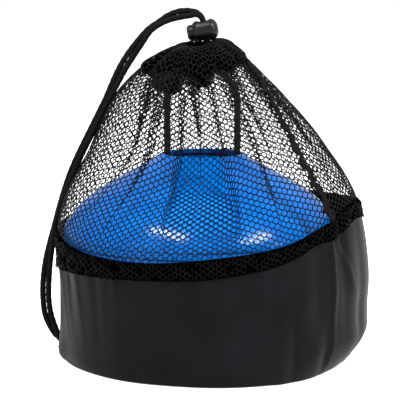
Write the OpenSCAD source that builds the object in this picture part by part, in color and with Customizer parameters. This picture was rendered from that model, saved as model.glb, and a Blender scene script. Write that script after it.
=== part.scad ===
// Disc cone set: nested saucer markers on a carrier with an arched handle, kept in a
// drawstring bag with a solid lower wall, a net upper part, a doubled cord strap and a cord lock.
// Origin: centre of the bag's base on the ground. +Z up, -Y is the front.

/* [Discs] */
// Outer diameter of one disc at the foot of its lip
disc_d = 192; // [188:0.5:193]
// Diameter of the hole in the crown
hole_d = 53.8; // [50:0.2:56]
// Height of one disc, from the foot of the lip to the crown
disc_h = 53.6; // [46:0.2:58]
// Height of the upright lip
lip_h = 4.2; // [3.4:0.1:5]
// Outward lean of the lip over its height
lip_flare = 0.6; // [0.2:0.1:1]
// Wall thickness of a disc
disc_wall = 2; // [1.4:0.1:2.3]
// Height of daylight between one lip and the next
lip_gap = 0.68; // [0.5:0.02:0.8]
// Number of discs in the stack, the top one included
disc_count = 18; // [12:1:18]
// Share of the dome's fall that is a straight cone
dome_straight = 0.74; // [0.6:0.01:0.9]
// Width of the rolled bead round the crown's hole
bead_w = 2.2; // [1.4:0.1:3]
// Height of that bead above the crown
bead_h = 0.5; // [0.2:0.1:0.8]

/* [Carrier] */
// Left-right place of the carrier and the stack in the bag
stack_x = -9.2; // [-9.3:0.1:-8.6]
// Width of the handle's bar, seen from the front
bar_w = 4.4; // [3.6:0.1:5]
// Depth of the handle's bar, front to back
bar_d = 8; // [6:0.5:10]
// Clearance between the handle and the disc hole
hole_play = 0.45; // [0.3:0.05:1]
// Height of the top of the handle's arch above the ground
handle_top = 201.5; // [190:0.5:208]
// Radius of the edge rounding on the handle's bar
bar_round = 1.2; // [0.6:0.1:1.6]
// Thickness of the carrier foot's plate and arms
foot_t = 2.4; // [1.8:0.1:3]
// Radius of the foot's hub plate
hub_r = 33; // [31:0.5:38]
// How far the foot's arms reach in under the lip of the lowest disc
arm_bite = 0.9; // [0.5:0.1:1]
// Width of one arm
arm_w = 15; // [10:0.5:18]
// Height of the stiffening ribs above the plate
rib_h = 6; // [4:0.5:9]
// Thickness of a rib
rib_t = 1.8; // [1.4:0.1:2.4]
// Height of the sockets that hold the handle's legs
socket_h = 12; // [9:0.5:16]
// Wall of a socket
socket_wall = 1.8; // [1.2:0.1:2.2]
// Fit of a leg in its socket, per side
socket_fit = 0.1; // [0.05:0.05:0.2]
// How far the barb at the foot of a leg stands out
barb_out = 0.9; // [0.5:0.1:1.2]
// Height of that barb
barb_h = 3; // [2:0.5:4]

/* [Bag] */
// Play between the discs and the inside of the lower wall, on the side where they are nearest
wall_play = 0.8; // [0.7:0.1:2.3]
// How far the lower wall bulges out above its foot
belly_bulge = 0.9; // [0.8:0.1:3]
// Height of the largest radius
belly_z = 70; // [60:1:78]
// Radius of the net where it meets the gathered casing
neck_r = 38.5; // [36:0.5:42]
// Height of that neck
neck_z = 200; // [196:0.5:206]
// How far the lower part of the bag is set to the right of the ground point
belly_x = 0.4; // [0:0.1:0.6]
// How far the neck leans to the left
lean = 11.4; // [11:0.1:11.8]
// Power of the net's curve from the belly to the neck
net_curve = 1.85; // [1.7:0.05:2.2]
// Mean height of the hem's top edge
hem_z = 95.5; // [92:0.5:98]
// How far the hem's top edge rises and falls round the bag
hem_tilt = 14; // [8:0.5:16]
// Direction in which the hem is highest
hem_dir = 45; // [0:5:90]
// Height of the hem band
hem_h = 14; // [9:0.5:16]
// Thickness of the lower wall's cloth
wall_t = 0.6; // [0.4:0.05:0.7]
// Thickness of the net as a solid skin
net_t = 0.5; // [0.4:0.05:0.6]
// How far the doubled hem stands proud of the wall
hem_proud = 0.5; // [0.3:0.1:0.8]
// Thickness of the base cloth
base_t = 1.2; // [0.8:0.1:1.2]
// Radius of the piping in the base seam
welt_r = 1.6; // [1.2:0.1:1.6]
// Width of the net's side seam
seam_w = 5; // [3:0.5:8]
// Direction of the side seam, round from the right
seam_dir = -41; // [-60:1:-20]
// Gap left between cloth pieces that meet edge to edge
cloth_gap = 0.1; // [0.1:0.05:0.3]

/* [Drawstring] */
// Diameter of the cord
cord_d = 4; // [3.6:0.1:4.2]
// Radius of the cord's loop in the casing
loop_r = 20; // [18:0.5:21]
// Height of that loop
loop_z = 207.8; // [207.6:0.1:209]
// Angle left open at the back of the loop, where the two ends turn inwards
loop_open = 80; // [78:1:84]
// How deep the pleats of the gathered casing are
pleat_depth = 1.6; // [0.5:0.1:2]
// Number of pleats round the casing
pleats = 10; // [7:1:12]
// Thickness of the casing's doubled net
casing_t = 2.2; // [1.6:0.1:2.6]
// Height of the casing's top above the cord's loop
casing_rise = 11; // [10.2:0.1:12]
// Radius of the mouth that the cord leaves through
mouth_r = 11; // [10.5:0.5:12]

/* [Cord lock] */
// Length of the lock's body along its plunger
lock_l = 18.6; // [18.2:0.1:20]
// Diameter of the lock's body
lock_d = 15.2; // [15:0.1:16]
// Radius of the rounding at the body's ends
lock_round = 6; // [5:0.25:7]
// Diameter of the cord hole through the body
cord_hole_d = 9; // [8.8:0.1:9.4]
// Diameter of the plunger
plunger_d = 10.6; // [10.4:0.1:10.8]
// Running clearance round the plunger, per side
plunger_fit = 0.06; // [0.03:0.01:0.1]
// How far the button stands out of the body
button_out = 2.7; // [2.6:0.1:3]
// How far the button can be pressed
press_travel = 2.4; // [1.8:0.1:2.4]
// Diameter of the spring's wire
wire_d = 0.5; // [0.4:0.05:0.6]
// Turns of the spring
spring_turns = 2.5; // [2:0.5:3]
// Sideways place of the lock's centre
lock_x = -7.6; // [-8.6:0.1:-7]
// Height of the lock's centre
lock_z = 225; // [224.8:0.1:226]
// How far the lock tips to the left
lock_tip = 10; // [6:1:14]

/* [Hidden] */
$fn = 96;
eps = 0.01;

function disc_name(i) = str("disc_", i < 10 ? "0" : "", i);

// Discs: the outer curve falls from the hole's edge to the shoulder, then the lip stands upright.
lip_r = disc_d / 2;
shoulder_r = lip_r - lip_flare;
hole_r = hole_d / 2;
dome_w = shoulder_r - hole_r;
dome_h = disc_h - lip_h;
pitch = lip_h + lip_gap;
seat_gap = 0.05;
shoulder_power = 6;
dome_steps = 14;
shoulder_slope = dome_straight + (1 - dome_straight) * shoulder_power;
// The lip's foot rests on the shoulder of the disc below, so its inside is as wide as that shoulder.
lip_in_r = shoulder_r - dome_w * (lip_gap - seat_gap) / dome_h / shoulder_slope;
function dome(u) = lip_h + dome_h * (1 - dome_straight * u - (1 - dome_straight) * pow(u, shoulder_power));
function dome_slope(u) = dome_h / dome_w
    * (dome_straight + (1 - dome_straight) * shoulder_power * pow(u, shoulder_power - 1));
function dome_under(u) = dome(u) - disc_wall * sqrt(1 + pow(dome_slope(u), 2));
function dome_r(u) = hole_r + dome_w * u;

// Heights that stack up from the ground
foot_z = base_t + cloth_gap;
arm_seat = 0.14;
stack_z = foot_z + foot_t + arm_seat;
function disc_z(i) = stack_z + (i - 1) * pitch;

// Carrier
handle_out = sqrt(pow(hole_r - hole_play, 2) - pow(bar_d / 2 - bar_round, 2));
arch_r = handle_out - bar_w / 2;
arch_z = handle_top - handle_out;
foot_top = foot_z + foot_t;
arm_r = lip_in_r + arm_bite;
arm_turn = 45;
foot_mid = foot_z + foot_t / 2;
hub_rim = 1.2;
rib_tip = 0.8;
rib_end = arm_r - arm_w;
barb_z = foot_top + 3;
barb_play = 0.3;
barb_root = 0.5;
slot_w = bar_w + 2 * socket_fit;
slot_d = bar_d + 2 * socket_fit;

// Bag skin: radius and lean of the outer surface at a height
base_r = lip_r - stack_x + belly_x + wall_t + wall_play;
belly_r = base_r + belly_bulge;
// The lean starts gently over the discs and grows towards the neck.
lean_low = 0.35;
lean_low_power = 0.8;
lean_high_power = 2.4;
around = 64;
function rise(z) = min(1, max(0, (z - belly_z) / (neck_z - belly_z)));
function bag_r(z) = z < belly_z ? base_r + (belly_r - base_r) * sin(90 * max(z, 0) / belly_z)
    : neck_r + (belly_r - neck_r) * (1 - pow(rise(z), net_curve));
function bag_x(z) = belly_x
    - lean * (lean_low * pow(rise(z), lean_low_power) + (1 - lean_low) * pow(rise(z), lean_high_power));
function hem_top(a) = hem_z + hem_tilt * cos(a - hem_dir);
function hem_foot(a) = hem_top(a) - hem_h;
function skin_pt(a, z, off) = [bag_x(z) + (bag_r(z) + off) * cos(a), (bag_r(z) + off) * sin(a), z];
piping_r = base_r - welt_r - 0.3;
wall_foot = 2 * welt_r + cloth_gap;
neck_x = bag_x(neck_z);

// Gathered casing: a folded band of doubled net that holds the cord and is open towards the
// middle. Each row is [radius, height, share of the pleats].
casing_top = loop_z + casing_rise;
cord_foot = loop_z - cord_d / 2;
flap_top = cord_foot - 0.3;
crown_out = 7;
crown_drop = 4.6;
pocket_out = 10.5;
pocket_lift = 1.4;
casing_section = [
    [mouth_r + 5, flap_top + 0.2 - casing_t, 0],
    [loop_r + 6, flap_top - casing_t - 1.3, 0.2],
    [neck_r - 2.2, neck_z, 0.6],
    [neck_r + 0.5, neck_z + 2.6, 1],
    [neck_r - 3, loop_z, 1],
    [loop_r + crown_out, casing_top - crown_drop, 0.7],
    [mouth_r + 6, casing_top - 0.4, 0.2],
    [mouth_r, casing_top, 0],
    [mouth_r, casing_top - casing_t, 0],
    [mouth_r + 6, casing_top - casing_t - 0.5, 0],
    [loop_r + 5, casing_top - casing_t - 4.8, 0.3],
    [loop_r + pocket_out, flap_top + pocket_lift, 0.4],
    [loop_r + 6, flap_top, 0],
    [mouth_r + 5, flap_top + 0.2, 0]];
per_pleat = 6;

// Cord: the middle line of the two strands, from the lock's centre to the base seam
strap_route = [
    [-7.6, 0, 225], [-8.4, 0, 230], [-9.6, 0, 233.6], [-12.6, 0, 236.2], [-17, 0, 236.6],
    [-24, 0, 236], [-31.5, 0, 233.8], [-38.5, 0, 230], [-45, 0, 225.4], [-51.5, 0, 217.4],
    [-58.3, 0, 208], [-64.7, 0, 197.6], [-69.7, 0, 187.6], [-74.5, 0, 177.7], [-79.5, 0, 167.7],
    [-84.2, 0, 158.2], [-89.5, 0, 147.8], [-94.6, 0, 137.4], [-99.4, 0, 126.4], [-103.8, 0, 115],
    [-107.8, 0, 103], [-111.2, 0, 91], [-114, 0, 78], [-116.5, 1, 65], [-118, 2, 52],
    [-118.5, 4, 39], [-117.5, 7, 27], [-114.5, 11, 16.5], [-111.5, 15, 9], [-108.6, 18.5, 4.4]];
// The ends of the loop, turned inwards at the back of the casing and up into the lock
end_a = [[1.9, 15.3, 207.8], [-1.5, 17.6, 207.8], [-5.5, 17.6, 207.9], [-8, 14.6, 208.3], [-8, 10.5, 209],
    [-7.3, 6.5, 210.6], [-6.5, 3.4, 213.4], [-6.2, 2.1, 217]];
end_b = [[-23.9, 15.3, 207.8], [-20.5, 17.6, 207.8], [-16.5, 17.8, 207.8], [-13.6, 14.8, 207.9],
    [-12.4, 10.4, 208.3], [-10.6, 5, 208.9], [-8.4, 0.3, 210.3], [-6.7, -1.8, 213.2], [-6.2, -2.1, 217]];
cord_sides = 8;
strand_gap = 0.15;
strand_off = (cord_d + strand_gap) / 2;
// The pair twists as it hangs: how far it is turned about its own line, in degrees, at some of the
// route's points.
strap_turn = [[0, 0], [2, 0], [3, 12], [4, 42], [5, 72], [7, 22], [8, 25], [10, 76], [11, 70], [13, 34], [14, 33],
    [15, 35], [18, 33], [20, 12], [21, 8], [24, 80], [26, 85], [29, 0]];
function pair_turn(i) = lookup(i, strap_turn);

function unit(v) = v / norm(v);
function along(p, i) = unit(p[min(i + 1, len(p) - 1)] - p[max(i - 1, 0)]);
function across(p, i) = unit([0, 1, 0] - along(p, i)[1] * along(p, i));
function upright(p, i) = cross(across(p, i), along(p, i));
function strand(side) = [for (i = [0 : len(strap_route) - 1]) strap_route[i] + side * strand_off
    * (cos(pair_turn(i)) * across(strap_route, i) + sin(pair_turn(i)) * upright(strap_route, i))];

// Frames for a path in any direction: each ring's side vector is the last one made square again.
function sides(p, i = 0, s = []) = i == len(p) ? s
    : let (t = along(p, i), g = i == 0 ? (abs(t[2]) > 0.9 ? [0, 1, 0] : [0, 0, 1]) : s[i - 1])
        sides(p, i + 1, concat(s, [unit(g - (g * t) * t)]));

// Cord lock
lock_r = lock_d / 2;
plunger_r = plunger_d / 2;
cord_hole_r = cord_hole_d / 2;
sink_r = 1.1;
sink_h = 2.6;
window_y = strand_off + cord_d / 2 + 0.27;
window_in = cord_d / 2 + 0.35;
window_out = window_in + press_travel;
plunger_end = window_in + 1.65;
bore_end = plunger_end + press_travel + 0.2;
pocket_end = lock_l / 2 - 1.2;
spring_r = 2.8;
pocket_r = spring_r + wire_d / 2 + 0.5;
button_round = 1.4;
spring_sides = 6;
spring_steps = 16;

// A closed tube or skin from rows of points: each row is a closed ring, and the rows close on
// themselves where ring_to_ring is true.
module rows(pts, ring_to_ring = false) {
    n = len(pts);
    m = len(pts[0]);
    faces = concat(
        [for (i = [0 : n - (ring_to_ring ? 1 : 2)], j = [0 : m - 1])
            let (a = i * m + j, b = i * m + (j + 1) % m, k = (i + 1) % n)
                each [[a, b, k * m + (j + 1) % m], [a, k * m + (j + 1) % m, k * m + j]]],
        ring_to_ring ? [] : [[for (j = [m - 1 : -1 : 0]) j], [for (j = [0 : m - 1]) (n - 1) * m + j]]);
    polyhedron([for (r = pts) each r], faces);
}

// Sweep of a round section along a path
module tube(p, r, n) {
    s = sides(p);
    rows([for (i = [0 : len(p) - 1]) let (t = along(p, i), u = s[i], v = cross(t, u))
        [for (j = [0 : n - 1]) p[i] + r * (cos(360 * j / n) * u + sin(360 * j / n) * v)]]);
}

// Closed skin of the bag between two heights that change round it
module skin(foot_gap, top_gap, steps, inner, outer, from, to) {
    rows([for (k = [0 : around - 1]) let (a = 360 * k / around)
        let (lo = (from == "hem" ? hem_foot(a) : from == "top" ? hem_top(a) : from) + foot_gap,
             hi = (to == "hem" ? hem_foot(a) : to == "top" ? hem_top(a) : to) - top_gap)
        concat([for (s = [0 : steps]) skin_pt(a, lo + (hi - lo) * s / steps, outer)],
               [for (s = [steps : -1 : 0]) skin_pt(a, lo + (hi - lo) * s / steps, inner)])], true);
}

module rounded_rect(w, d, r) {
    square([w - 2 * r, d], center = true);
    square([w, d - 2 * r], center = true);
    for (x = [-1, 1], y = [-1, 1]) translate([x * (w / 2 - r), y * (d / 2 - r)]) circle(r, $fn = 32);
}

// Sub-parts of the bag
module bag_base() color("#232326")
    cylinder(r = piping_r - welt_r - cloth_gap, h = base_t);

module base_piping() color("#1b1b1d")
    rotate_extrude() translate([piping_r, welt_r]) circle(welt_r, $fn = 32);

module lower_wall() color("#29292c")
    skin(0, cloth_gap, 5, -wall_t, 0, wall_foot, "hem");

module hem_band() color("#0f0f10")
    skin(0, cloth_gap, 2, -net_t, hem_proud, "hem", "top");

module net_upper() color("#18181a", 0.45)
    skin(0, cloth_gap, 9, -net_t, 0, "top", neck_z);

module net_side_seam() color("#0c0c0d") {
    lift = 0.25;
    tape_t = 0.9;
    steps = 9;
    lo = hem_top(seam_dir) + cloth_gap;
    hi = neck_z - 1;
    rows([for (s = [0 : steps])
        let (z = lo + (hi - lo) * s / steps, half = seam_w / 2 / bag_r(z) * 180 / PI)
        [for (c = [[-1, lift], [1, lift], [1, lift + tape_t], [-1, lift + tape_t]])
            skin_pt(seam_dir + c[0] * half, z, c[1])]]);
}

module gathered_casing() color("#101011") {
    turns = pleats * per_pleat;
    translate([neck_x, 0, 0])
        rows([for (k = [0 : turns - 1]) let (a = 360 * k / turns)
            [for (c = casing_section) let (r = c[0] + c[2] * pleat_depth * cos(pleats * a))
                [r * cos(a), r * sin(a), c[1]]]], true);
}

module drawcord_loop() color("#141415")
    translate([neck_x, 0, loop_z]) rotate([0, 0, 90 + loop_open / 2])
        rotate_extrude(angle = 360 - loop_open) translate([loop_r, 0]) circle(d = cord_d, $fn = 32);

module strap_cord_a() color("#161617")
    tube(concat(end_a, strand(1)), cord_d / 2, cord_sides);

module strap_cord_b() color("#161617")
    tube(concat(end_b, strand(-1)), cord_d / 2, cord_sides);

module strap_bar_tack() color("#0d0d0e") {
    tack_l = 12;
    tack_t = 4.6;
    tack_h = 1.9;
    tack_gap = 0.3;
    tack_dir = 170;
    rotate([0, 0, tack_dir]) translate([base_r + tack_gap + tack_t / 2, 0, tack_gap])
        linear_extrude(tack_h) rounded_rect(tack_t, tack_l, 1.5);
}

// Sub-parts of the carrier
module bar_section() rounded_rect(bar_w, bar_d, bar_round);

module carrier_handle() color("#141416") translate([stack_x, 0, 0]) {
    translate([0, 0, arch_z]) rotate([90, 0, 0])
        rotate_extrude(angle = 180) translate([arch_r, 0]) bar_section();
    for (x = [-1, 1]) {
        translate([x * arch_r, 0, foot_z]) linear_extrude(arch_z - foot_z) bar_section();
        translate([x * handle_out, bar_d / 4, barb_z]) rotate([90, 0, 0]) linear_extrude(bar_d / 2)
            polygon([[-x * barb_root, 0], [0, 0], [x * barb_out, barb_h], [-x * barb_root, barb_h]]);
    }
}

module foot_outline() {
    circle(hub_r);
    for (k = [0 : 3]) rotate(arm_turn + 90 * k) {
        translate([0, -arm_w / 2]) square([arm_r - arm_w / 2, arm_w]);
        translate([arm_r - arm_w / 2, 0]) circle(d = arm_w);
    }
}

// One rib runs across the hub along two opposite arms and falls away towards their tips.
module foot_rib() translate([0, rib_t / 2, 0]) rotate([90, 0, 0]) linear_extrude(rib_t)
    polygon([[-rib_end, foot_mid], [-rib_end, foot_top + rib_tip], [-hub_r, foot_top + rib_h],
        [hub_r, foot_top + rib_h], [rib_end, foot_top + rib_tip], [rib_end, foot_mid]]);

module carrier_foot() color("#1a1a1c") translate([stack_x, 0, 0]) difference() {
    union() {
        translate([0, 0, foot_z]) linear_extrude(foot_t) foot_outline();
        for (k = [0, 1]) rotate([0, 0, arm_turn + 90 * k]) foot_rib();
        rotate_extrude() translate([hub_r - hub_rim - rib_t, foot_mid]) square([rib_t, foot_t / 2 + rib_h / 2]);
        for (x = [-1, 1]) translate([x * arch_r, 0, foot_mid]) linear_extrude(foot_t / 2 + socket_h)
            rounded_rect(slot_w + 2 * socket_wall, slot_d + 2 * socket_wall, socket_wall);
    }
    for (x = [-1, 1]) translate([x * arch_r, 0, 0]) {
        translate([-slot_w / 2, -slot_d / 2, 0]) cube([slot_w, slot_d, foot_top + socket_h + 2]);
        translate([x > 0 ? 0 : -bar_w, -bar_d / 4 - barb_play, barb_z - barb_play])
            cube([bar_w, bar_d / 2 + 2 * barb_play, barb_h + 2 * barb_play]);
    }
}

// One disc, standing on its lip
module disc_cone() {
    bead_u = bead_w / dome_w;
    outer = [for (s = [0 : dome_steps]) let (u = bead_u + (1 - bead_u) * (1 - pow(1 - s / dome_steps, 1.4)))
        [dome_r(u), dome(u)]];
    under_end = (lip_in_r - hole_r) / dome_w;
    under = [for (s = [dome_steps : -1 : 0]) let (u = under_end * (1 - pow(1 - s / dome_steps, 1.4)))
        [dome_r(u), dome_under(u)]];
    bead_top = disc_h + bead_h;
    rotate_extrude() polygon(concat([[hole_r, bead_top], [hole_r + bead_w, bead_top]], outer,
        [[lip_r, 0], [lip_in_r, 0]], under));
}

module disc(i) color(i % 2 ? "#0a6fe0" : "#0a68d6") translate([stack_x, 0, disc_z(i)]) disc_cone();

// Sub-parts of the cord lock, made about the lock's own middle with the plunger along X
module lock_place() translate([lock_x, 0, lock_z]) rotate([0, -lock_tip, 0]) children();

module lock_outline() intersection() {
    translate([0, -lock_l]) square([lock_r + 1, 2 * lock_l]);
    rounded_rect(lock_d, lock_l, lock_round);
}

module lock_body() color("#303033") lock_place() difference() {
    rotate([0, 90, 0]) rotate_extrude() lock_outline();
    translate([-lock_l, 0, 0]) rotate([0, 90, 0]) cylinder(r = plunger_r + plunger_fit, h = lock_l + bore_end);
    rotate([0, 90, 0]) cylinder(r = pocket_r, h = pocket_end);
    translate([0, 0, -lock_r]) cylinder(r = cord_hole_r, h = lock_d);
    for (s = [-1, 1]) scale([1, 1, s]) translate([0, 0, lock_r - sink_h])
        cylinder(r1 = cord_hole_r, r2 = cord_hole_r + sink_r, h = sink_h);
}

module lock_plunger() color("#3a3a3e") lock_place() difference() {
    translate([-lock_l / 2 - button_out, 0, 0]) rotate([0, 90, 0]) {
        translate([0, 0, button_round]) cylinder(r = plunger_r, h = lock_l / 2 + button_out + plunger_end - button_round);
        cylinder(r1 = plunger_r - button_round, r2 = plunger_r, h = button_round + eps);
    }
    translate([-window_out, -window_y, -plunger_r]) cube([window_out + window_in, 2 * window_y, 2 * plunger_r]);
}

module lock_spring() color("#b8b8bc") lock_place() {
    lead = wire_d / 2 + 0.06;
    from = plunger_end + lead;
    to = pocket_end - lead;
    count = spring_turns * spring_steps;
    tube([for (i = [0 : count]) let (a = 360 * i / spring_steps)
        [from + (to - from) * i / count, spring_r * cos(a), spring_r * sin(a)]], wire_d / 2, spring_sides);
}

bag_base();
base_piping();
lower_wall();
hem_band();
net_upper();
net_side_seam();
gathered_casing();
drawcord_loop();
strap_cord_a();
strap_cord_b();
strap_bar_tack();
carrier_foot();
carrier_handle();
lock_body();
lock_plunger();
lock_spring();
for (i = [1 : disc_count]) disc(i);
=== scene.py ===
# Disc cone set: eighteen saucer markers on a carrier with an arched handle, kept in a drawstring
# bag with a coated lower wall, a net top, a doubled cord strap and a ball-shaped cord lock.
# Metres, +Z up, -Y is the front, the origin is the middle of the bag's base on the ground.
import math

import bpy
import numpy as np
from mathutils import Matrix


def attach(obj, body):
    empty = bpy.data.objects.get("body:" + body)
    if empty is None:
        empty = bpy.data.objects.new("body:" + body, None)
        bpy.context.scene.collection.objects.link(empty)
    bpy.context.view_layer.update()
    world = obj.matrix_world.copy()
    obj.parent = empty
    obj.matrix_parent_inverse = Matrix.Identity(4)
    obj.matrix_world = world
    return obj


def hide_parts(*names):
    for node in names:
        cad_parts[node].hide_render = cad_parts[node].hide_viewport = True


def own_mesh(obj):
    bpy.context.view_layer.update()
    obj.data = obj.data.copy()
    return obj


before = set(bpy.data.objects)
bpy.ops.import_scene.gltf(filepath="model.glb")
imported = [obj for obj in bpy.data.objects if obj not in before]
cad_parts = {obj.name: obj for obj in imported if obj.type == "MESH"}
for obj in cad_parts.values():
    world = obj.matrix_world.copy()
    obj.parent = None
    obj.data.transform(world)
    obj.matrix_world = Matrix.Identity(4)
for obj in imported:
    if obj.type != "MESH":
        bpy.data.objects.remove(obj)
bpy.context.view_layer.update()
scene = bpy.context.scene
scene.view_settings.view_transform = "Standard"

# ---- Camera ----
# A long lens stands a good metre in front of the bag, a little higher than its top, and looks
# slightly down on it. It is level from side to side.
eye = (-0.01077, -1.2183, 0.2786)
eye_tilt = math.radians(82.03)
bpy.ops.object.camera_add(location=eye, rotation=(eye_tilt, 0, 0))
camera = bpy.context.object
camera.data.lens = 160.14
camera.data.sensor_width = 36
camera.data.clip_start = 0.05
scene.camera = camera

# ---- Drawcord and strap ----
# One braided polyester cord runs round the mouth in the casing. Its two ends come up through the
# lock, run side by side down the left of the bag as a strap, and are sewn into the base seam.
MM = 0.001
cord_d = 0.004
strand_off = 0.002075
strap_route = [
    (-7.6, 0, 225), (-8.4, 0, 230), (-9.6, 0, 233.6), (-12.6, 0, 236.2), (-17, 0, 236.6), (-24, 0, 236),
    (-31.5, 0, 233.8), (-38.5, 0, 230), (-45, 0, 225.4), (-51.5, 0, 217.4), (-58.3, 0, 208),
    (-64.7, 0, 197.6), (-69.7, 0, 187.6), (-74.5, 0, 177.7), (-79.5, 0, 167.7), (-84.2, 0, 158.2),
    (-89.5, 0, 147.8), (-94.6, 0, 137.4), (-99.4, 0, 126.4), (-103.8, 0, 115), (-107.8, 0, 103),
    (-111.2, 0, 91), (-114, 0, 78), (-116.5, 1, 65), (-118, 2, 52), (-118.5, 4, 39), (-117.5, 7, 27),
    (-114.5, 11, 16.5), (-111.5, 15, 9), (-108.6, 18.5, 4.4)]
end_a = [(1.9, 15.3, 207.8), (-1.5, 17.6, 207.8), (-5.5, 17.6, 207.9), (-8, 14.6, 208.3), (-8, 10.5, 209),
         (-7.3, 6.5, 210.6), (-6.5, 3.4, 213.4), (-6.2, 2.1, 217)]
end_b = [(-23.9, 15.3, 207.8), (-20.5, 17.6, 207.8), (-16.5, 17.8, 207.8), (-13.6, 14.8, 207.9),
         (-12.4, 10.4, 208.3), (-10.6, 5, 208.9), (-8.4, 0.3, 210.3), (-6.7, -1.8, 213.2),
         (-6.2, -2.1, 217)]
# How far the pair is turned about its own line, in degrees, at some of the route's points.
pair_turn = [(0, 0), (2, 0), (3, 12), (4, 42), (5, 72), (7, 22), (8, 25), (10, 76), (11, 70), (13, 34),
             (14, 33), (15, 35), (18, 33), (20, 12), (21, 8), (24, 80), (26, 85), (29, 0)]
neck_x, loop_r, loop_z, loop_open = -0.011, 0.020, 0.2078, math.radians(80)


def unit(v):
    return v / np.linalg.norm(v, axis=-1, keepdims=True)


def run_along(points):
    """How far along their line each of the points lies."""
    return np.concatenate([[0], np.cumsum(np.linalg.norm(np.diff(points, axis=0), axis=1))])


def spread(*parts):
    """Points from their coordinates, which are spread over one grid."""
    return np.stack(np.broadcast_arrays(*parts), axis=-1)


def around(mid, r, angle, z):
    """Points at a radius, an angle and a height round an upright line at x = mid."""
    return spread(mid + r * np.cos(angle), r * np.sin(angle), z)


def through(knots, values, at, period=None):
    """A smooth curve through the values at the knots, read at the places in at."""
    knots, values, at = (np.asarray(x, float) for x in (knots, values, at))
    if period:
        at = (at - knots[0]) % period + knots[0]
        knots = np.concatenate([knots[-2:] - period, knots, knots[:2] + period])
        values = np.concatenate([values[-2:], values, values[:2]])
    slopes = np.gradient(values, knots, axis=0)
    i = np.clip(np.searchsorted(knots, at) - 1, 0, len(knots) - 2)
    h = knots[i + 1] - knots[i]
    t = (at - knots[i]) / h
    if values.ndim > 1:
        h, t = h[:, None], t[:, None]
    return ((1 + 2 * t) * (1 - t) ** 2 * values[i] + t * (1 - t) ** 2 * h * slopes[i]
            + t * t * (3 - 2 * t) * values[i + 1] + t * t * (t - 1) * h * slopes[i + 1])


def even_path(points, step):
    """Points a step apart on a smooth curve through the given points."""
    points = np.asarray(points, float)
    knots = run_along(points)
    fine = through(knots, points, np.linspace(0, knots[-1], len(points) * 20))
    run = run_along(fine)
    stops = np.linspace(0, run[-1], int(run[-1] / step) + 1)
    return np.stack([np.interp(stops, run, fine[:, k]) for k in range(3)], axis=1)


def strand(side):
    """The strap's middle line moved to one side by half a cord; the pair turns on its way down."""
    route = np.array(strap_route) * MM
    last = len(route) - 1
    along = unit(np.array([route[min(i + 1, last)] - route[max(i - 1, 0)] for i in range(last + 1)]))
    turn = np.radians(np.interp(np.arange(last + 1), *zip(*pair_turn)))[:, None]
    across = unit(np.array([0, 1, 0]) - along[:, 1:2] * along)
    upright = np.cross(across, along)
    return route + side * strand_off * (np.cos(turn) * across + np.sin(turn) * upright)


def mesh_object(name, points, faces, uv=None):
    """A new smooth-shaded object from points and faces, with an optional UV for each point."""
    mesh = bpy.data.meshes.new(name)
    mesh.from_pydata(np.asarray(points, float).reshape(-1, 3).tolist(), [], faces)
    if uv is not None:
        layer = mesh.uv_layers.new(name="cloth")
        corners = np.zeros(len(mesh.loops), int)
        mesh.loops.foreach_get("vertex_index", corners)
        layer.data.foreach_set("uv", np.asarray(uv, float).reshape(-1, 2)[corners].ravel())
    mesh.shade_smooth()
    made = bpy.data.objects.new(name, mesh)
    scene.collection.objects.link(made)
    return made


def grid_faces(rows, cols, wrap=True, flip=False):
    """Quads of a grid of points, rows first, closed round from the last column to the first."""
    i, j = np.meshgrid(np.arange(rows - 1), np.arange(cols if wrap else cols - 1), indexing="ij")
    a, b = i * cols + j, i * cols + (j + 1) % cols
    quads = np.stack([a, b, b + cols, a + cols], axis=-1).reshape(-1, 4)
    return (quads[:, ::-1] if flip else quads).tolist()


def braided_cord(name, points, step=0.0005, sides=24, yarns=8, lay=0.0052, relief=0.00018):
    """A braided tube along the points: two sets of yarns cross over and under each other."""
    path = even_path(points, step)
    along = unit(np.gradient(path, axis=0))
    side = np.zeros_like(path)
    side[0] = unit(np.cross(along[0], [0.3, 0.9, 0.2]))
    for i in range(1, len(path)):
        side[i] = unit(side[i - 1] - (side[i - 1] @ along[i]) * along[i])
    lift = np.cross(along, side)
    turn = np.arange(sides)[None, :] / sides * 2 * math.pi
    run = np.arange(len(path))[:, None] * step
    rise = 2 * math.pi * run / lay
    yarn = np.maximum(np.sin(yarns / 2 * turn + rise), np.sin(yarns / 2 * turn - rise))
    radius = (cord_d / 2 + relief * (yarn - 0.6))[..., None]
    skin = path[:, None] + radius * (np.cos(turn)[..., None] * side[:, None]
                                     + np.sin(turn)[..., None] * lift[:, None])
    rings = len(path)
    ends = [list(range(sides)), list(range(rings * sides - 1, (rings - 1) * sides - 1, -1))]
    uv = spread(turn * cord_d / 2, run)
    return mesh_object(name, skin, grid_faces(rings, sides, flip=True) + ends, uv), path


def linear(hex_code):
    """The linear colour of an sRGB hex value."""
    parts = [int(hex_code[i:i + 2], 16) / 255 for i in (1, 3, 5)]
    return [p / 12.92 if p <= 0.04045 else ((p + 0.055) / 1.055) ** 2.4 for p in parts] + [1.0]


def add_node(owner, kind, settings, links=()):
    """Adds a node; settings are properties or input values, links are (input, output socket)."""
    made = owner.node_tree.nodes.new(kind)
    for key, value in settings.items():
        if isinstance(key, str) and hasattr(made, key):
            setattr(made, key, value)
        else:
            made.inputs[key].default_value = value
    for key, socket in links:
        owner.node_tree.links.new(socket, made.inputs[key])
    return made


def new_material(name, **sockets):
    """A material whose shader has these sockets set; returns it and its shader."""
    made = bpy.data.materials.new(name)
    made.use_nodes = True
    shader = made.node_tree.nodes["Principled BSDF"]
    for key, value in sockets.items():
        shader.inputs[key.replace("_", " ")].default_value = value
    return made, shader


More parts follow.
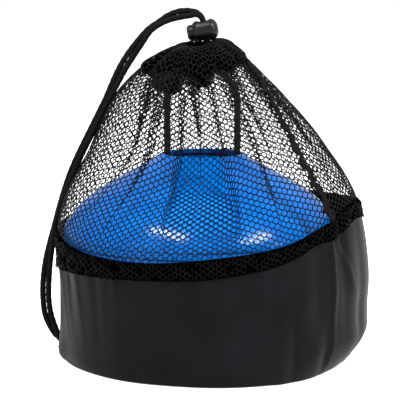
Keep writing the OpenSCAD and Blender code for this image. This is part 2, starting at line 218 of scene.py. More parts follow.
def mottle(material, shader, scale, detail, sockets, bump=0):
    """Noise, with scale spots to a metre, drives each named socket from its first stop to its
    second. A stop is a level of the noise and the hex colour or value there. The noise can also
    raise the skin, by bump metres."""
    place = add_node(material, "ShaderNodeTexCoord", {})
    noise = add_node(material, "ShaderNodeTexNoise", {"Scale": scale, "Detail": detail},
                     [("Vector", place.outputs["Object"])])
    for socket, stops in sockets.items():
        ramp = add_node(material, "ShaderNodeValToRGB", {}, [("Fac", noise.outputs["Fac"])])
        for element, (position, value) in zip(ramp.color_ramp.elements, stops):
            element.position = position
            element.color = linear(value) if isinstance(value, str) else (value, value, value, 1)
        material.node_tree.links.new(ramp.outputs["Color"], shader.inputs[socket])
    if bump:
        skin = add_node(material, "ShaderNodeBump", {"Strength": 1, "Distance": bump},
                        [("Height", noise.outputs["Fac"])])
        material.node_tree.links.new(skin.outputs["Normal"], shader.inputs["Normal"])


def finish_with(piece, material):
    piece.data.materials.clear()
    piece.data.materials.append(material)


# Braided polyester: dull, with a faint sheen on the yarns and paler rubbed fibres, in spots of
# about 0.7 mm.
cord_material, shader = new_material("braided_polyester", Roughness=0.6, Specular_IOR_Level=0.02)
mottle(cord_material, shader, 1400, 3, {"Base Color": [(0.3, "#060606"), (0.7, "#191817")]}, bump=0.00015)

seam_end = [(-106.4, 22.5, 3.3), (-103.6, 26.5, 2.7)]
for name, start, side in (("strap_cord_a_braid", end_a, 1), ("strap_cord_b_braid", end_b, -1)):
    route = np.concatenate([np.array(start) * MM, strand(side), np.array(seam_end) * MM])
    piece, path = braided_cord(name, route)
    finish_with(piece, cord_material)
    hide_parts(name.removesuffix("_braid"))
    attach(piece, "bag")

loop_turn = np.linspace(math.pi / 2 + loop_open / 2, 2.5 * math.pi - loop_open / 2, 60)
loop, path = braided_cord("drawcord_loop_braid", around(neck_x, loop_r, loop_turn, loop_z))
finish_with(loop, cord_material)
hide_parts("drawcord_loop")
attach(loop, "bag")

# ---- Lower wall ----
# A strip of black coated polyester cloth, satin outside, sewn into a ring round the discs. It
# stands by its own stiffness, with small ruffles under the hem and puckers along the base seam.
bag_outline = np.array([
    (0, -104, 103.2), (6, -105.4, 104.2), (14, -105.7, 104.7), (24, -106, 104.9), (40, -107.2, 104.9),
    (54, -108, 105.6), (72, -109, 104.5), (96, -108.1, 101), (112, -103.8, 96.8), (125, -97.6, 90.4),
    (142, -88, 79), (160, -80, 65.5), (178, -71.1, 49.5), (190, -62, 38), (202, -49, 25.6),
    (208, -42, 18.8), (213, -36, 13.6)]) * MM
hem_top_at = [(-175, 88.6), (-145, 81.8), (-115, 80), (-89, 84.4), (-60, 92), (-47, 99), (-40, 103.5),
              (-14, 111), (20, 106), (50, 104.5), (90, 101), (135, 96)]
hem_foot_at = [(-175, 63.4), (-154, 65.8), (-136, 67.3), (-114, 69), (-96, 70.6), (-82, 73.7),
               (-63, 80.4), (-48, 89.4), (-36, 92.8), (-24, 99.5), (0, 97), (45, 93), (90, 89), (135, 78)]
# Each fold: its angle at the foot and at the top, the heights it runs between, where along them it
# is deepest (0 foot, 1 top), its half width in degrees and how far it stands out, in mm.
wall_folds = [
    (-42, -42.5, 6, 98, 0.8, 1.5, 2.2), (-27, -41, 52, 99, 1, 1.7, 2.4),
    (-34, -36, 20, 95, 0.9, 3.2, -2.2), (-50, -49, 4, 92, 1, 3, -1.5), (-57, -57, 2, 80, 0.7, 3.5, 1.0),
    (-66, -66, 1, 40, 0.1, 3.2, 1.6), (-61, -61, 2, 40, 0.45, 2.2, -1.8), (-51, -51, 2, 36, 0.45, 4.5, 1.8),
    (-45, -46, 2, 30, 0.45, 2.4, -1.8), (-72, -73, 30, 78, 1, 1.6, 0.9), (-79, -78, 20, 76, 1, 3, -0.8),
    (-20, -22, 5, 100, 0.3, 4, -1.6), (-95, -94, 30, 72, 1, 2.2, 0.7), (-108, -107, 40, 70, 1, 1.8, -0.7),
    (-128, -127, 20, 68, 1, 2, 0.9), (-136, -137, 10, 68, 0.9, 2.2, -1.0),
    (-146, -149, 12, 67, 0.9, 2.2, 0.9), (-153, -155, 26, 66, 0.9, 2.0, -0.9),
    (-173, -173, -4, 42, 0.15, 8.5, 5.2), (-160, -163, 20, 66, 0.9, 2.0, 1.0),
    (-168, -169, 34, 66, 0.9, 2.2, -0.7), (150, 152, 5, 82, 0.9, 3, 1.4), (128, 130, 3, 84, 0.6, 4, -1.6),
    (104, 102, 0, 88, 0.8, 3, 1.6), (80, 82, 4, 90, 0.7, 4, -1.5), (58, 57, 0, 92, 0.9, 3, 1.8),
    (35, 33, 2, 94, 0.6, 3.5, -1.4), (12, 10, 3, 96, 0.8, 3, 1.5)]
# The whole cloth wanders a little, and its foot is tucked in at the right, towards the front.
drift_slow, drift_fast = 0.0005, 0.0003
tuck_dir, tuck_half, tuck_deep, tuck_high = -18, 34, 0.013, 0.022
stack_x, stack_top, rim_clear = -0.0092, 0.0915, 0.0968


def outline_mid(z):
    return through(bag_outline[:, 0], (bag_outline[:, 1] + bag_outline[:, 2]) / 2, z)


def outline_r(z):
    return through(bag_outline[:, 0], (bag_outline[:, 2] - bag_outline[:, 1]) / 2, z)


def round_hem(stations, degrees):
    table = np.array(stations, float)
    return through(table[:, 0], table[:, 1], degrees, 360) * MM


def turned(a, b):
    """The smallest turn from b to a, in degrees."""
    return (np.asarray(a) - b + 180) % 360 - 180


def wall_relief(degrees, z):
    """How far the cloth of the wall stands out of its plain round shape."""
    total = np.zeros(np.broadcast(degrees, z).shape)
    for foot_dir, top_dir, foot, top, peak, width, depth in wall_folds:
        share = (z / MM - foot) / (top - foot)
        middle = foot_dir + (top_dir - foot_dir) * np.clip(share, 0, 1)
        fade = 1 - np.abs(share - peak) / np.where(share > peak, 1.3 - peak, peak + 0.15)
        fade = np.clip(fade, 0, 1)
        total += depth * MM * fade ** 1.3 * np.exp(-(turned(degrees, middle) / width) ** 2)
    drift = drift_slow * np.sin(np.radians(degrees * 5) + 1.3 + z * 18)
    drift = drift + drift_fast * np.sin(np.radians(degrees * 11) + z * 40)
    tuck = np.clip(1 - z / tuck_high, 0, 1) ** 1.5 * np.exp(-(turned(degrees, tuck_dir) / tuck_half) ** 2)
    return total + drift - tuck_deep * tuck


def bag_point(degrees, z, out=0.0):
    """A point on the bag's plain round shape, out of it by some distance."""
    return around(outline_mid(z), outline_r(z) + out, np.radians(degrees), z)


def pushed_out(points, least):
    """Cloth nearer to the stack's middle line than its least distance, moved out to it."""
    away = points[..., 0] - stack_x
    push = np.maximum(1, least / np.hypot(away, points[..., 1]))
    return spread(stack_x + away * push, points[..., 1] * push, points[..., 2])


wall_cols, wall_rows = 600, 60
wall_dirs = (np.arange(wall_cols) * 360 / wall_cols - 180)[None, :]
wall_foot, wall_tuck = 0.0006, 0.003
share = np.linspace(0, 1, wall_rows + 1)[:, None]
wall_z = wall_foot + (round_hem(hem_foot_at, wall_dirs) + wall_tuck - wall_foot) * share
wall_points = bag_point(wall_dirs, wall_z, wall_relief(wall_dirs, wall_z))
wall_points = pushed_out(wall_points, np.where(wall_z < stack_top, rim_clear, 0))
girth = 0.672
wall_uv = spread((wall_dirs + 180) / 360 * girth, wall_z)
lower_wall = mesh_object("lower_wall_cloth", wall_points, grid_faces(wall_rows + 1, wall_cols), wall_uv)


def thicken(piece, thickness, offset=-1.0):
    """Gives a sheet its real thickness, inwards from its outer face."""
    solid = piece.modifiers.new("thickness", "SOLIDIFY")
    solid.thickness, solid.offset = thickness, offset
    bpy.context.view_layer.objects.active = piece
    bpy.ops.object.modifier_apply(modifier=solid.name)


thicken(lower_wall, 0.0005)

# Coated polyester: a fine plain weave under a smooth film, black with a brownish satin sheen that
# is cloudy, in patches of about 40 mm.
wall_material, shader = new_material("coated_polyester", Specular_IOR_Level=0.03)
mottle(wall_material, shader, 26, 5, {"Base Color": [(0.3, "#0b0a0c"), (0.7, "#141215")],
                                      "Roughness": [(0.3, 0.38), (0.7, 0.47)]})
# The weave is drawn at 0.9 mm, three times as coarse as it is, so that it shows at all. A wave
# texture has about 3.2 bands to a unit of its scale.
threads, bands = 0.0009, 3.2
place = add_node(wall_material, "ShaderNodeTexCoord", {})
warp, weft = (add_node(wall_material, "ShaderNodeTexWave",
                       {"Scale": 1 / threads / bands, "bands_direction": direction},
                       [("Vector", place.outputs["UV"])]) for direction in "XY")
weave = add_node(wall_material, "ShaderNodeMath", {"operation": "ADD"},
                 [(0, warp.outputs["Fac"]), (1, weft.outputs["Fac"])])
skin = add_node(wall_material, "ShaderNodeBump", {"Strength": 1, "Distance": 0.00003},
                [("Height", weave.outputs[0])])
wall_material.node_tree.links.new(skin.outputs["Normal"], shader.inputs["Normal"])
finish_with(lower_wall, wall_material)
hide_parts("lower_wall")
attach(lower_wall, "bag")

# ---- Base and piping ----
# The round base is the same coated cloth. A corded piping closes the seam between base and wall;
# it is drawn in under the wall, and lifts off the ground a little where the wall is tucked.
piping_cols, piping_sides, piping_r = 360, 16, 0.0014
seam_z, seam_in = 0.004, 0.0032
lift_dir, lift_half, lift_high, lift_wave = -38, 16, 0.0022, 0.0003
piping_dirs = np.arange(piping_cols) * 360 / piping_cols - 180
seam_r = outline_r(seam_z) - seam_in + wall_relief(piping_dirs, np.full(piping_cols, seam_z))
lift = lift_high * np.exp(-(turned(piping_dirs, lift_dir) / lift_half) ** 2)
lift = lift + lift_wave * (1 + np.sin(np.radians(piping_dirs * 23)))
section = np.arange(piping_sides)[None, :] / piping_sides * 2 * math.pi
ring_r = seam_r[:, None] + piping_r * np.cos(section)
piping_angle = np.radians(piping_dirs)[:, None]
piping_points = around(outline_mid(seam_z), ring_r, piping_angle,
                       (lift + piping_r)[:, None] + piping_r * np.sin(section))
piping_loop = np.concatenate([piping_points, piping_points[:1]])
base_piping = mesh_object("base_piping_bead", piping_loop,
                          grid_faces(piping_cols + 1, piping_sides, flip=True))


def weld(piece, reach=0.00002):
    """Merges points that lie on each other and turns all faces outwards."""
    bpy.ops.object.select_all(action="DESELECT")
    piece.select_set(True)
    bpy.context.view_layer.objects.active = piece
    bpy.ops.object.mode_set(mode="EDIT")
    bpy.ops.mesh.select_all(action="SELECT")
    bpy.ops.mesh.remove_doubles(threshold=reach)
    bpy.ops.mesh.normals_make_consistent(inside=False)
    bpy.ops.object.mode_set(mode="OBJECT")


weld(base_piping)
finish_with(base_piping, wall_material)
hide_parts("base_piping")
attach(base_piping, "bag")

base_rings, base_off, base_wave = 24, 0.0007, 0.0003
base_share = np.linspace(1, 0.02, base_rings)[:, None]
base_r = (seam_r - piping_r * 0.6)[None, :] * base_share
base_z = base_off + base_wave * np.sin(base_r * 240) * np.cos(piping_angle.T * 3 + 1)
base_points = around(outline_mid(seam_z), base_r, piping_angle.T,
                     base_z + lift[None, :] * base_share ** 8)
base_faces = grid_faces(base_rings, piping_cols)
base_faces.append([(base_rings - 1) * piping_cols + k for k in range(piping_cols)])
bag_base = mesh_object("bag_base_cloth", base_points, base_faces, base_points[..., :2])
thicken(bag_base, 0.0006)
finish_with(bag_base, wall_material)
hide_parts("bag_base")
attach(bag_base, "bag")

# ---- Net top ----
# Black warp-knitted polyester net with six-sided holes, sewn to the wall as a tube, where it is
# stretched a little, and drawn together at the mouth. What it has to spare lies in flat folds that
# grow wider towards the top, and in front it is drawn in on to the discs.
holes_round, hole_across, hole_row = 102, 0.0058, 0.00225
net_girth = holes_round * hole_across
net_cols, net_rows = 1020, 60
net_top_mid, net_top_tilt = 0.2035, 0.0045
# Near the hem the cloth is stretched round it, and its rows lie closer together.
hem_stretch, stretch_high, hem_squeeze, squeeze_high = 0.136, 0.03, 0.16, 0.012
# Each fold: its direction at the hem and at the neck, its share of the spare cloth, how far up the
# net it starts (0 to 1), which side of it lies outside (1 the one before it, -1 the one after), and
# how far it bows aside half-way up, in degrees.
net_folds = np.array([
    (-151, -124, 1.8, 0, 1, 2), (-137, -116, 0.8, 0.05, 1, 0), (-112, -101, 0.5, 0.5, 1, 0),
    (-97, -93, 0.5, 0.55, -1, 0), (-84, -79, 0.6, 0.4, -1, 0), (-62, -68, 0.8, 0.05, 1, 2),
    (-38.5, -29, 1.3, 0, 1, -8), (-10, -6, 0.3, 0.8, 1, 0), (30, 28, 0.7, 0.3, 1, 0),
    (60, 60, 0.8, 0.2, 1, 0), (94, 94, 0.8, 0.2, -1, 0), (128, 130, 0.8, 0.2, 1, 0),
    (162, 166, 0.5, 0.3, -1, 0)])
seam_fold = 6
# Layers of a fold lie a gap apart once it is wide enough; panels sag between the folds, and the
# whole net is a little uneven.
layer_gap, fold_wide, net_sag, net_uneven = 0.0005, 0.004, 0.0006, 0.0005
# In front the net is drawn in over a broad stretch, in mm at some heights.
hollow_dir, hollow_half = -96, 56
hollow_deep = [(84, 0), (92, 3), (100, 8), (110, 13), (121, 18), (135, 19), (150, 15), (170, 9),
               (190, 4), (204, 0)]
# In the middle of it the net sinks further, on to the top disc, in a valley with steep sides: its
# height, the outer and inner edge of its left side, those of its right side, and its depth, in mm.
valley = np.array([
    (88, -38, -32, 13, 18, 0), (96, -37.5, -32.5, 13, 17, 5), (101, -37, -32, 12.5, 16, 9),
    (109, -36.5, -29.5, 11.9, 16.4, 13), (121, -31.5, -26.1, 7.8, 15.5, 15),
    (137, -30.5, -23.8, 0, 12.1, 13), (160, -27, -19.5, -3.5, 6.5, 9), (185, -22, -15, -6, 1.5, 3),
    (200, -18, -14, -8, -3, 0)])
net_clear, dome_clear = 0.0011, 0.002
# The disc's outer line: a straight cone that rounds over to its upright lip.
disc_count, disc_pitch, disc_foot = 18, 0.00488, 0.00384
hole_r, shoulder_r, lip_r, lip_in_r = 0.0269, 0.0954, 0.096, 0.09502
lip_h, dome_h, disc_wall, straight = 0.0042, 0.0494, 0.002, 0.74
bead_w, bead_h = 0.0022, 0.0005


def dome(u):
    return lip_h + dome_h * (1 - straight * u - (1 - straight) * u ** 6)


def off_the_dome(points):
    """Moves net that would lie in the top disc out to just off its dome."""
    u = np.linspace(1, 0, 60)
    top_foot = disc_foot + (disc_count - 1) * disc_pitch
    needed = np.interp(points[..., 2], top_foot + dome(u), hole_r + (shoulder_r - hole_r) * u) + net_clear
    needed = np.where(points[..., 2] > top_foot + dome(0) + dome_clear, 0, needed)
    return pushed_out(points, needed)


def meridian(degrees, count):
    """Points up the bag's round shape from the hem to the neck, evenly spaced, and its length."""
    top = net_top_mid + net_top_tilt * math.cos(math.radians(degrees))
    z = np.linspace(round_hem(hem_top_at, degrees), top, 200)
    run = run_along(bag_point(degrees, z))
    return np.interp(np.linspace(0, run[-1], count), run, z), run[-1]


net_dirs = np.arange(net_cols) * 360 / net_cols - 180
line_dirs = np.arange(-180, 181, 6)
lines = [meridian(d, net_rows + 1) for d in line_dirs]
net_z = np.stack([np.interp(net_dirs, line_dirs, [z[k] for z, _ in lines]) for k in range(net_rows + 1)])
mean_high = np.mean([run for _, run in lines])


def net_row(k):
    """One row of the net: its points, and where along the cloth each fold's first edge lies."""
    up, z = k / net_rows, net_z[k]
    high = up * mean_high
    cloth = net_girth * (1 + hem_stretch * np.exp(-(high / stretch_high) ** 2))
    place = (net_folds[:, 0] + 180) / 360 * cloth
    way = net_folds[:, 0] + (net_folds[:, 1] - net_folds[:, 0]) * up ** 0.9
    way = np.radians(way + net_folds[:, 5] * np.sin(np.pi * up))
    # Each fold takes up spare cloth of the panels on both its sides, by its share of what the two
    # folds beside a panel ask for.
    share = net_folds[:, 2] * np.clip((up - net_folds[:, 3]) / (1 - net_folds[:, 3]), 0.02, 1)
    round_r = outline_r(z)
    fold_r = np.interp(place, np.arange(net_cols) / net_cols * cloth, round_r)
    panel = np.diff(np.append(place, place[0] + cloth))
    arc = np.diff(np.append(way, way[0] + 2 * math.pi)) * (fold_r + np.roll(fold_r, -1)) / 2
    spare = np.maximum(panel - arc, 0)
    left_part = share / (share + np.roll(share, -1))
    taken_right, taken_left = spare * left_part, np.roll(spare * (1 - left_part), 1)
    width, shift = (taken_left + taken_right) / 2, (taken_right - taken_left) / 2
    first, second = place + shift - width / 2, place + shift + width / 2
    # The cloth of a fold runs forwards, back and forwards again, so the fold's first edge lies
    # further round than its second.
    stops = np.stack([first, second], axis=1).ravel()
    ways = np.stack([way + width / 2 / fold_r, way - width / 2 / fold_r], axis=1).ravel()
    under = -2 * layer_gap * np.minimum(width / fold_wide, 1)
    outside = net_folds[:, 4] > 0
    depths = np.stack([np.where(outside, 0, under), np.where(outside, under, 0)], axis=1).ravel()
    along = np.arange(net_cols) / net_cols * cloth
    wide_stops = np.concatenate([stops[-4:] - cloth, stops, stops[:4] + cloth])
    wide_ways = np.concatenate([ways[-4:] - 2 * math.pi, ways, ways[:4] + 2 * math.pi])
    wide_depths = np.concatenate([depths[-4:], depths, depths[:4]])
    angle = np.interp(along, wide_stops, wide_ways)
    inwards = np.interp(along, wide_stops, wide_depths)
    middle = np.searchsorted(wide_stops, along)
    between = (along - wide_stops[middle - 1]) / (wide_stops[middle] - wide_stops[middle - 1] + 1e-9)
    inwards -= net_sag * up * np.sin(np.pi * between) * (middle % 2 == 0)
    off = np.clip(np.abs(turned(np.degrees(angle), hollow_dir)) / hollow_half, 0, 1)
    inwards -= np.interp(z / MM, *zip(*hollow_deep)) * MM * (0.5 + 0.5 * np.cos(np.pi * off ** 1.6))
    inwards += net_uneven * up * np.sin(along * 610 + 9 * up) * np.sin(up * 23 + along * 90)
    points = around(outline_mid(z), round_r + inwards, angle, z)
    edges = [np.interp(z / MM, valley[:, 0], valley[:, n]) * MM for n in range(1, 6)]
    inside = np.minimum((points[:, 0] - edges[0]) / (edges[1] - edges[0]),
                        (edges[3] - points[:, 0]) / (edges[3] - edges[2]))
    inside = np.clip(inside, 0, 1)
    points[:, 1] += np.where(points[:, 1] < 0, edges[4] * inside * inside * (3 - 2 * inside), 0)
    points = off_the_dome(points)
    # The holes are spread evenly between the folds' edges again, and sharp turns are eased.
    closed, knots = np.append(points, points[:1], axis=0), np.append(along, cloth)
    run = run_along(closed)
    at_stops = np.interp(stops % cloth, knots, run)
    order = np.argsort(stops % cloth)
    even = np.interp(along, np.concatenate([[0], (stops % cloth)[order], [cloth]]),
                     np.concatenate([[0], at_stops[order], [run[-1]]]))
    points = np.stack([np.interp(even, run, closed[:, axis]) for axis in range(3)], axis=1)
    for _ in range(2):
        points = points / 2 + (np.roll(points, 1, axis=0) + np.roll(points, -1, axis=0)) / 4
    return points, first / cloth * net_cols


net_lines = [net_row(k) for k in range(net_rows + 1)]
net_grid = np.stack([points for points, _ in net_lines])
# The rows lie evenly up the net as it hangs, so they close up where it slopes.
net_run = np.concatenate([np.zeros((1, net_cols)),
                          np.cumsum(np.linalg.norm(np.diff(net_grid, axis=0), axis=2), axis=0)])
net_run = net_run / 2 + (np.roll(net_run, 4, axis=1) + np.roll(net_run, -4, axis=1)) / 4
net_high = net_run[-1]
even_rows = np.linspace(0, 1, net_rows + 1)
net_grid = np.stack([np.stack([np.interp(even_rows * net_high[c], net_run[:, c], net_grid[:, c, axis])
                               for axis in range(3)], axis=1) for c in range(net_cols)], axis=1)
fold_cols = np.stack([cols for _, cols in net_lines])


def on_grid(grid, cols, rows):
    """Places on a grid of points, closed round, at fractional columns and rows."""
    count = grid.shape[1]
    i = np.clip(np.floor(rows).astype(int), 0, grid.shape[0] - 2)
    j = np.floor(cols).astype(int)
    u, v = (cols - j)[..., None], (rows - i)[..., None]
    low = grid[i, j % count] * (1 - u) + grid[i, (j + 1) % count] * u
    high = grid[i + 1, j % count] * (1 - u) + grid[i + 1, (j + 1) % count] * u
    return low * (1 - v) + high * v


def net_sheet(name, place_of, first, last, tall, across, row, thread=0.0003, corner_in=0.8):
    """A net with six-sided holes: place_of turns cloth places (along, up) into points. Holes stand
    from first to last along the cloth and up to the height tall(along)."""
    half, rise = across / 2, row
    cap = ((half * half + rise * rise) / 2 - rise * rise) / half
    tip = (half * half + rise * rise) / 2 / half
    corners = np.array([(tip, 0), (cap, rise), (-cap, rise), (-tip, 0), (-cap, -rise), (cap, -rise)])
    middles = (corners + np.roll(corners, -1, axis=0)) / 2
    middles *= 1 - thread / np.linalg.norm(middles, axis=1, keepdims=True)
    hole = np.stack([corners * corner_in, middles], axis=1).reshape(12, 2)
    cols = int(round((last - first) / across))
    # More rows than any place has room for; those that stand too high are dropped.
    most_rows = int(tall(np.array([first])).max() * 1.6 / row)
    j, i = np.meshgrid(np.arange(1, most_rows), np.arange(cols), indexing="ij")
    centres = np.stack([first + (i + 0.25 + 0.5 * (j % 2)) * across, j * row], axis=-1).reshape(-1, 2)
    centres = centres[centres[:, 1] + rise < tall(centres[:, 0])]
    count = len(centres)
    outer = (centres[:, None] + corners).reshape(-1, 2)
    key, back = np.unique(np.round(outer / (across * 0.02)).astype(int), axis=0, return_inverse=True)
    back = back.reshape(-1)
    shared = np.zeros((len(key), 2))
    shared[back] = outer
    back = back.reshape(count, 6)
    inner = len(shared) + np.arange(count * 12).reshape(count, 12)
    flat = np.concatenate([shared, (centres[:, None] + hole).reshape(-1, 2)])
    faces = []
    for k in range(6):
        n = (k + 1) % 6
        faces += np.stack([back[:, k], back[:, n], inner[:, 2 * n], inner[:, 2 * k + 1]], axis=1).tolist()
        faces += np.stack([back[:, k], inner[:, 2 * k + 1], inner[:, 2 * k]], axis=1).tolist()
    return mesh_object(name, place_of(flat), faces, flat)


def rows_up(up, high):
    """The row of the net's grid at a height along the cloth, which is squeezed near the hem."""
    run = up - hem_squeeze * squeeze_high * (1 - np.exp(-up / squeeze_high))
    return run / high * net_rows


def net_place(flat):
    cols = flat[:, 0] / net_girth * net_cols
    high = np.interp(cols % net_cols, np.arange(net_cols + 1), np.append(net_high, net_high[0]))
    return on_grid(net_grid, cols, rows_up(flat[:, 1], high))


def net_tall(along):
    cols = along / net_girth * net_cols
    high = np.interp(cols % net_cols, np.arange(net_cols + 1), np.append(net_high, net_high[0]))
    return high + hem_squeeze * squeeze_high


# Knitted polyester net: each thread is a bundle of fine filaments, black with a faint sheen, and
# uneven in spots of about 1 mm.
net_material, shader = new_material("knitted_polyester_net", Roughness=0.5, Specular_IOR_Level=0.03)
mottle(net_material, shader, 900, 2, {"Base Color": [(0.3, "#050505"), (0.75, "#151515")]}, bump=0.0001)

thread_t, thread_share = 0.0004, 0.5
half_girth, net_flat = net_girth / 2, 0.135
for name, first in (("net_front", 0.0), ("net_back", half_girth)):
    piece = net_sheet(name, net_place, first, first + half_girth, net_tall, hole_across, hole_row)
    thicken(piece, thread_t, 0)
    finish_with(piece, net_material)
    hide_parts("net_upper")
    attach(piece, "bag")

# ---- Hem band ----
# Where the net is sewn to the wall its edge is folded double over a strip of black cloth, so the band
# is dense, with the net's threads standing on it; the strip is painted near black, as painted shade.
band_cols, band_rows, band_out, band_over = 480, 10, 0.0003, 0.0008
band_dirs = (np.arange(band_cols) * 360 / band_cols - 180)[None, :]
band_share = np.linspace(0, 1, band_rows + 1)[:, None]
band_foot, band_top = round_hem(hem_foot_at, band_dirs), round_hem(hem_top_at, band_dirs)
band_z = band_foot + (band_top + band_over - band_foot) * band_share
band_puff = band_out * np.sin(np.pi * band_share) ** 0.4
band_points = bag_point(band_dirs, band_z, wall_relief(band_dirs, band_z) + band_puff)
band_uv = spread((band_dirs + 180) / 360 * girth, band_z - band_foot)
hem_band = mesh_object("hem_band_cloth", band_points, grid_faces(band_rows + 1, band_cols), band_uv)
thicken(hem_band, 0.0008)
# The net that lies double in the hem is painted blacker than the single net, as painted shade, and
# the layers behind it, like those in the casing, are painted near black, as the shade they lie in.
doubled_net_shaded_material, shader = new_material("doubled_net_painted_shade", Roughness=0.45, Specular_IOR_Level=0.03)
mottle(doubled_net_shaded_material, shader, 900, 2, {"Base Color": [(0.3, "#020202"), (0.75, "#0c0c0c")]}, bump=0.0001)
shade_material, shader = new_material("net_layers_in_shade", Roughness=0.9, Specular_IOR_Level=0.0)
mottle(shade_material, shader, 500, 3, {"Base Color": [(0.3, "#000000"), (0.75, "#040404")]})
# The band's near-black colour is painted shade of the net layers.
finish_with(hem_band, shade_material)
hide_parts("hem_band")
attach(hem_band, "bag")

hem_holes, hem_net_row, hem_net_over, hem_flat = 130, hole_row * 0.8, 0.001, 0.016
hem_net_off, hem_slant, hem_ripple, hem_lump = 0.0004, 0.0009, 0.0006, 0.0010
doubled_t = 0.0006


def band_place(flat):
    """The doubled net follows the band, with its rows out of line, fine ripples and soft lumps."""
    along, up = flat[:, 0], flat[:, 1]
    degrees = along / girth * 360 - 180
    slant = hem_slant * np.sin(along * 210 + np.sin(along * 63)) * np.sin(up * 190)
    z = round_hem(hem_foot_at, degrees) + up + slant
    wave = hem_ripple * np.sin(along * 900) * np.sin(up * 1100)
    wave += hem_lump * np.sin(along * 370 + 2 * np.sin(along * 97)) * np.sin(up * 300 + along * 55)
    return bag_point(degrees, z, wall_relief(degrees, z) + band_out + hem_net_off + wave)


def band_tall(along):
    degrees = along / girth * 360 - 180
    return round_hem(hem_top_at, degrees) - round_hem(hem_foot_at, degrees) + hem_net_over


for name, first in (("hem_net_front", 0.0), ("hem_net_back", girth / 2)):
    piece = net_sheet(name, band_place, first, first + girth / 2, band_tall, girth / hem_holes, hem_net_row)
    thicken(piece, doubled_t, 0)
    finish_with(piece, doubled_net_shaded_material)
    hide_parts("hem_band")
    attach(piece, "bag")

# ---- Net side seam ----
# The net's two edges are joined up one side and bound with a narrow black tape, which runs from
# the hem to the casing and follows the net's folds.
tape_half, tape_off, tape_curl, tape_row = 0.0027, 0.0011, 0.0008, 0.0024
seam_half, seam_rows, tape_across = tape_half / net_girth * net_cols, 160, 7
seam_run = np.linspace(0, net_rows - 0.5, seam_rows)
tape_steps = np.linspace(-1, 1, tape_across)
seam_wave = 2.2 * np.sin(seam_run * 0.9 + np.sin(seam_run * 0.31)) + 1.2 * np.sin(seam_run * 2.3 + 1)
seam_cols = np.interp(seam_run, np.arange(net_rows + 1), fold_cols[:, seam_fold])
seam_cols = seam_cols - 1.2 * seam_half + seam_wave
tape_cols = seam_cols[:, None] + seam_half * tape_steps[None, :]
tape_points = on_grid(net_grid, tape_cols, np.repeat(seam_run[:, None], tape_across, axis=1))
net_away = unit(np.cross(np.gradient(tape_points, axis=1), np.gradient(tape_points, axis=0)))
tape_points = tape_points + net_away * (tape_off + tape_curl * np.sin(seam_run * 3.1)[:, None, None]
                                        * np.cos(tape_steps * 3)[None, :, None])
seam_uv = spread(tape_steps[None, :] * tape_half, seam_run[:, None] * tape_row)
side_seam = mesh_object("net_side_seam_tape", tape_points, grid_faces(seam_rows, tape_across, wrap=False),
                        seam_uv)
thicken(side_seam, 0.0008, 0)
finish_with(side_seam, cord_material)
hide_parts("net_side_seam")
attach(side_seam, "bag")

# ---- Gathered casing ----
# The net's top edge is turned down and sewn as a channel for the drawcord. Pulled tight, it
# bunches into deep rounded pleats, where several layers of net lie on each other; the cloth under
# the outer net stands for those layers and is painted near black, as painted shade.
casing_cols, casing_rows = 480, 40
casing_dirs = np.arange(casing_cols) * 360 / casing_cols - 180
# Up the casing, from its lower edge to the mouth: radius and height in mm, for four directions.
casing_lines = [
    (-180, [(35, 198), (36.5, 202), (29, 206.8), (21, 210.2), (15.5, 212.6), (7, 213.6)]),
    (-90, [(36, 187), (40, 195), (37, 204), (28.5, 210.2), (18.5, 213.2), (7, 213.4)]),
    (0, [(29, 205), (29.5, 207.5), (27.5, 210), (23, 213.8), (17, 217.6), (7.5, 216.4)]),
    (90, [(36, 192), (38, 198), (34, 205), (26, 210.8), (18, 216.2), (7.5, 216)])]
# The creases between the rounded pleats, and the height of the lower edge, round the casing.
casing_creases = [-172, -153, -107, -74, -46, -18, 15, 52, 88, 120, 153, 188]
casing_foot_at = [(-180, 195.5), (-162, 195.5), (-150, 194), (-143, 188), (-127, 184.5), (-112, 187),
                  (-106, 196), (-100, 190), (-90, 188.5), (-80, 190), (-74, 198), (-66, 197),
                  (-50, 198.5), (-30, 203), (0, 205), (40, 201), (90, 193), (140, 194)]
pleat_deep, pleat_lift, lump_deep = 0.009, 0.0015, 0.0014
casing_up = np.linspace(0, 1, casing_rows + 1)
line_table = np.array([line for _, line in casing_lines], float)
line_stops = np.linspace(0, 1, line_table.shape[1])
line_fine = np.stack([through(line_stops, line, casing_up) for line in line_table])
blend = through([d for d, _ in casing_lines], line_fine.reshape(4, -1), casing_dirs, 360)
blend = blend.reshape(casing_cols, casing_rows + 1, 2).transpose(1, 0, 2) * MM
r, z = blend[..., 0], blend[..., 1]
up = casing_up[:, None]
foot_z = round_hem(casing_foot_at, casing_dirs)[None, :]
pleat_at = np.interp((casing_dirs + 172) % 360 - 172, casing_creases, np.arange(len(casing_creases)))
lobe = np.abs(np.sin(np.pi * pleat_at))[None, :] ** 0.6 - 0.7
angle = np.radians(casing_dirs)[None, :]
# The pleats are deepest on the left, where the cloth is bunched.
r = r + pleat_deep * (1 - up) ** 0.5 * lobe * (0.8 - 0.5 * np.cos(angle))
z = z + (foot_z - z[:1]) * np.clip(1 - 1.6 * up, 0, 1) + pleat_lift * lobe * (1 - up)
r = r + lump_deep * np.sin(angle * 19 + up * 9) * np.sin(up * 14 + angle * 7 + 1) * (1 - up)
casing_points = around(neck_x, r, angle, z)
casing_r, casing_spare, casing_deep, casing_tall = 0.040, 1.25, 0.036, 0.046
casing_girth = 2 * math.pi * casing_r * casing_spare
casing_uv = spread((casing_dirs + 180)[None, :] / 360 * casing_girth, up * casing_deep)
casing = mesh_object("gathered_casing_cloth", casing_points, grid_faces(casing_rows + 1, casing_cols),
                     casing_uv)
thicken(casing, 0.0014)
